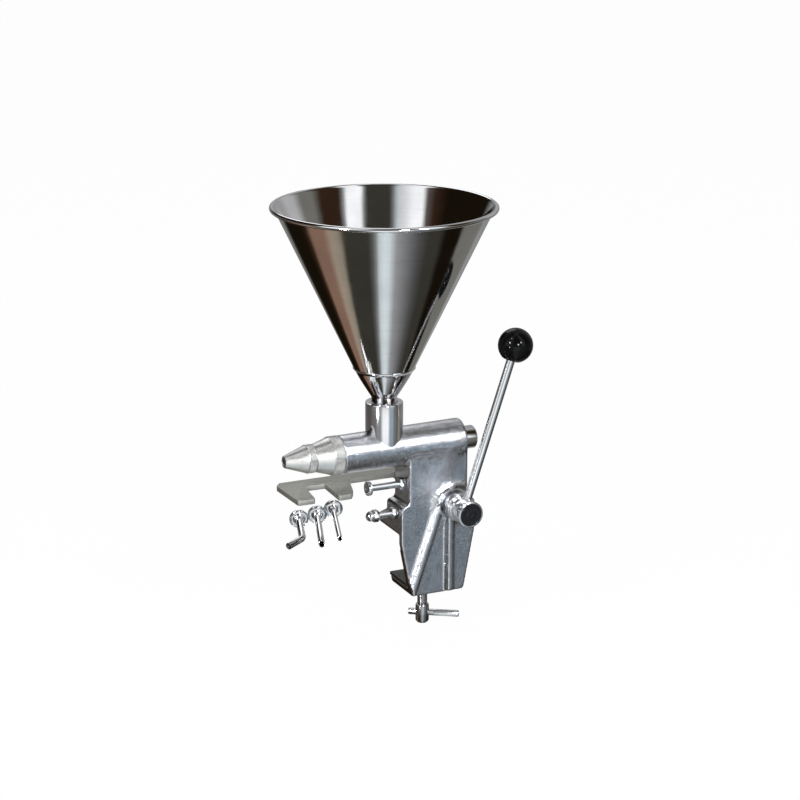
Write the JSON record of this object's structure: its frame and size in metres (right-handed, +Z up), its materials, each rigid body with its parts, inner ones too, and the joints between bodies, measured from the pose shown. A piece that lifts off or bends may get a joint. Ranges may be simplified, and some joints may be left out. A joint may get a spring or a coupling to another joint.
{
  "type": "pastry filling machine",
  "caption": "Hand lever pastry filling machine: conical hopper over a horizontal barrel with plunger and nose nozzle, C-clamp body for a table edge, rest fork and loose nozzles.",
  "frame": {"origin": "on the underside of the upper jaw, the face that sits on the table top, on the axis of the clamp screw", "axes": "+Z up along the hopper axis, -X towards the nose, -Y towards the lever side, +Y towards the table"},
  "size_m": [0.2855, 0.254, 0.5103],
  "materials": {
    "cast_alloy": "blasted and tumbled casting",
    "mirror_steel": "polished",
    "turned_alloy": "turned, satin",
    "bright_steel": "ground, bright",
    "chromed_steel": "chromed",
    "dark_steel": "oiled",
    "plate_steel": "satin",
    "bronze": "turned",
    "black_resin": "gloss",
    "black_cap": "matt",
    "white_seal": "matt",
    "black_seal": "matt"
  },
  "bodies": {
    "body": {"body_casting": "cast_alloy", "neck_tube": "mirror_steel", "shaft_bushes": "bronze", "rest_fork": "plate_steel", "fork_screws": "bright_steel"},
    "hopper": {"hopper_cone": "mirror_steel", "hopper_outlet": "mirror_steel"},
    "reducer": {"reducer_cap": "turned_alloy", "barrel_gasket": "white_seal"},
    "nose": {"nose_cap": "turned_alloy", "nose_gasket": "white_seal"},
    "piston": {"plunger": "bright_steel", "plunger_seals": "black_seal"},
    "lever": {"lever_shaft": "bright_steel", "crank_arm": "bright_steel", "crank_key": "bright_steel", "crank_set_screw": "dark_steel", "shaft_circlip": "dark_steel", "lever_hub": "turned_alloy", "hub_bezel": "chromed_steel", "hub_cap": "black_cap", "lever_rod": "bright_steel", "lever_knob": "black_resin"},
    "upper_stop": {"upper_stop_screw": "chromed_steel"},
    "upper_nut": {"upper_lock_nut": "chromed_steel"},
    "lower_stop": {"lower_stop_stud": "chromed_steel", "lower_cap_nut": "chromed_steel"},
    "lower_nut": {"lower_lock_nut": "chromed_steel"},
    "clamp_plate": {"pressure_plate": "dark_steel"},
    "clamp_spindle": {"clamp_screw": "bright_steel"},
    "clamp_handle": {"clamp_bar": "bright_steel"},
    "bent_tube": {"bent_nozzle": "chromed_steel"},
    "wide_tube": {"wide_nozzle": "chromed_steel"},
    "narrow_tube": {"narrow_nozzle": "chromed_steel"}
  },
  "joints": [
    {"name": "lever_swing", "type": "hinge", "parent": "body", "child": "lever", "pos_m": [0.0165, -0.021, 0.0337], "axis": [0, -1, 0], "range_deg": [0, 25]},
    {"name": "piston_slide", "type": "slide", "parent": "body", "child": "piston", "axis": [-1, 0, 0], "range_m": [0, 0.0294]},
    {"name": "hopper_lift", "type": "slide", "parent": "body", "child": "hopper", "axis": [0, 0, 1], "range_m": [0, 0.03]},
    {"name": "reducer_turn", "type": "hinge", "parent": "body", "child": "reducer", "pos_m": [-0.122, -0.021, 0.102], "axis": [1, 0, 0], "continuous": true},
    {"name": "nose_turn", "type": "hinge", "parent": "reducer", "child": "nose", "pos_m": [-0.152, -0.021, 0.102], "axis": [1, 0, 0], "continuous": true},
    {"name": "upper_stop_slide", "type": "slide", "parent": "body", "child": "upper_stop", "axis": [-1, 0, 0], "range_m": [0, 0.014]},
    {"name": "upper_nut_turn", "type": "hinge", "parent": "body", "child": "upper_nut", "pos_m": [-0.04, -0.026, 0.0585], "axis": [1, 0, 0], "continuous": true},
    {"name": "lower_stop_slide", "type": "slide", "parent": "body", "child": "lower_stop", "axis": [-1, 0, 0], "range_m": [0, 0.012]},
    {"name": "lower_nut_turn", "type": "hinge", "parent": "body", "child": "lower_nut", "pos_m": [-0.05, -0.026, 0.0245], "axis": [1, 0, 0], "continuous": true},
    {"name": "plate_rise", "type": "slide", "parent": "body", "child": "clamp_plate", "axis": [0, 0, 1], "range_m": [0, 0.0195]},
    {"name": "clamp_turn", "type": "hinge", "parent": "clamp_plate", "child": "clamp_spindle", "pos_m": [0, 0, -0.09], "axis": [0, 0, 1], "range_deg": [0, 4012]},
    {"name": "bar_slide", "type": "slide", "parent": "clamp_spindle", "child": "clamp_handle", "axis": [0.8387, -0.5446, 0], "range_m": [-0.035, 0.0075]},
    {"name": "bent_nozzle_lift", "type": "slide", "parent": "body", "child": "bent_tube", "axis": [0, 0, 1], "range_m": [0, 0.03]},
    {"name": "wide_nozzle_lift", "type": "slide", "parent": "body", "child": "wide_tube", "axis": [0, 0, 1], "range_m": [0, 0.03]},
    {"name": "narrow_nozzle_lift", "type": "slide", "parent": "body", "child": "narrow_tube", "axis": [0, 0, 1], "range_m": [0, 0.03]}
  ],
  "couplings": [
    {"joint": "piston_slide", "follows": "lever_swing", "m_per_rad": 0.0672},
    {"joint": "clamp_turn", "follows": "plate_rise", "rad_per_m": 3590.4}
  ]
}
